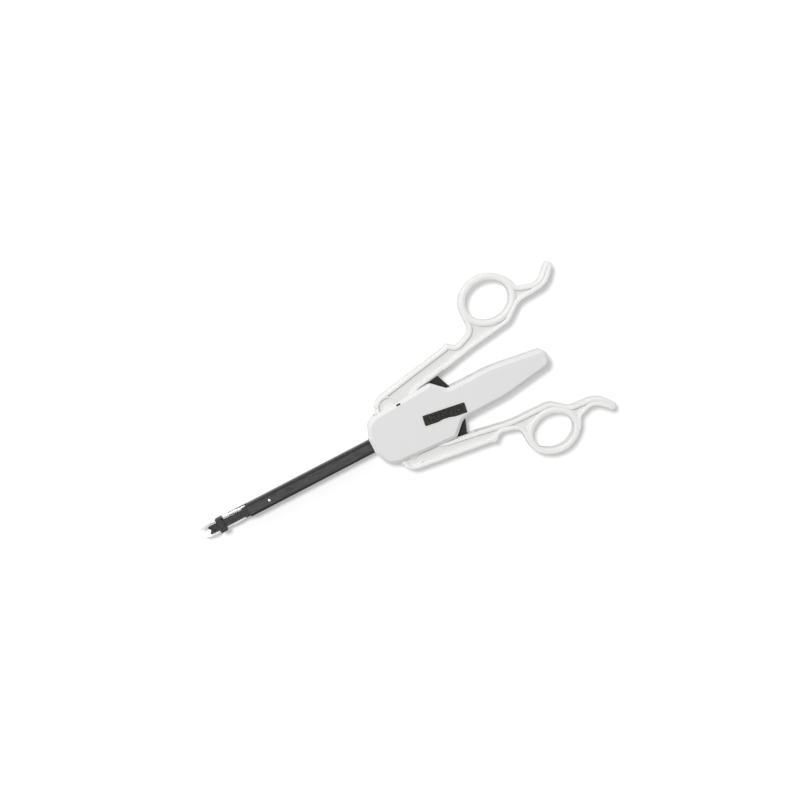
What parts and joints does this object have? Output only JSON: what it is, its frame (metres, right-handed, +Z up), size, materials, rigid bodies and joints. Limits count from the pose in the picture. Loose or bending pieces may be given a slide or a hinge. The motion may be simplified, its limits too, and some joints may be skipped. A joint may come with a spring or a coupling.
{
  "type": "clip applier",
  "caption": "Hand-held surgical clip applier with ring handles, a flat shaft and two jaws that close as the handles are squeezed.",
  "frame": {"origin": "midway between the two handle pivots, on the flat underside of the housing", "axes": "+X from the jaws to the tail, +Y to the right handle, +Z up from the surface it lies on"},
  "size_m": [0.2479, 0.1126, 0.0155],
  "materials": {
    "white_plastic": "moulded, satin",
    "black_plastic": "moulded, satin",
    "black_steel": "black coating",
    "bright_steel": "bright"
  },
  "bodies": {
    "housing": {"top_cover": "white_plastic", "bottom_cover": "white_plastic", "top_insert": "black_plastic", "right_pivot_pin": "bright_steel", "left_pivot_pin": "bright_steel", "spring_guide": "black_plastic", "return_spring": "bright_steel", "shaft_channel": "black_steel", "shaft_cover": "black_steel", "shaft_rivet": "bright_steel", "shaft_anchor_pin": "bright_steel", "cartridge_track": "black_plastic", "clips": "bright_steel", "clip_follower": "black_plastic", "feed_spring": "bright_steel", "nose_block": "black_plastic", "right_jaw_pin": "bright_steel", "left_jaw_pin": "bright_steel"},
    "right_handle": {"right_handle": "white_plastic", "right_handle_pin": "bright_steel"},
    "left_handle": {"left_handle": "white_plastic", "left_handle_pin": "bright_steel"},
    "right_link": {"right_link": "black_plastic"},
    "left_link": {"left_link": "black_plastic"},
    "drive": {"drive_slide": "black_plastic", "right_slide_pin": "bright_steel", "left_slide_pin": "bright_steel", "drawbar": "black_steel", "pusher_bar": "black_steel", "cam_collar": "black_steel"},
    "right_jaw": {"right_jaw": "bright_steel"},
    "left_jaw": {"left_jaw": "bright_steel"}
  },
  "joints": [
    {"name": "right_handle_swing", "type": "hinge", "parent": "housing", "child": "right_handle", "pos_m": [0, 0.0122, 0.0075], "axis": [0, 0, -1], "range_deg": [0, 10], "stiffness_Nm_per_rad": 1, "deforming": ["return_spring"]},
    {"name": "left_handle_swing", "type": "hinge", "parent": "housing", "child": "left_handle", "pos_m": [0, -0.0122, 0.0075], "axis": [0, 0, 1], "range_deg": [0, 10], "stiffness_Nm_per_rad": 1},
    {"name": "right_link_turn", "type": "hinge", "parent": "right_handle", "child": "right_link", "pos_m": [0.0281, 0.0208, 0.0075], "axis": [0, 0, 1], "range_deg": [0, 39.2]},
    {"name": "left_link_turn", "type": "hinge", "parent": "left_handle", "child": "left_link", "pos_m": [0.0281, -0.0208, 0.0075], "axis": [0, 0, -1], "range_deg": [0, 39.2]},
    {"name": "drive_travel", "type": "slide", "parent": "housing", "child": "drive", "axis": [1, 0, 0], "range_m": [0, 0.00864], "deforming": ["return_spring"]},
    {"name": "right_jaw_close", "type": "hinge", "parent": "housing", "child": "right_jaw", "pos_m": [-0.1, 0.0026, 0.0056], "axis": [0, 0, 1], "range_deg": [0, 3.6]},
    {"name": "left_jaw_close", "type": "hinge", "parent": "housing", "child": "left_jaw", "pos_m": [-0.1, -0.0026, 0.0056], "axis": [0, 0, -1], "range_deg": [0, 3.6]}
  ],
  "couplings": [
    {"joint": "left_handle_swing", "follows": "right_handle_swing", "ratio": 1},
    {"joint": "right_link_turn", "follows": "right_handle_swing", "ratio": 3.92},
    {"joint": "left_link_turn", "follows": "right_handle_swing", "ratio": 3.92},
    {"joint": "drive_travel", "follows": "right_handle_swing", "m_per_rad": 0.049503},
    {"joint": "right_jaw_close", "follows": "right_handle_swing", "ratio": 0.36},
    {"joint": "left_jaw_close", "follows": "right_handle_swing", "ratio": 0.36}
  ]
}
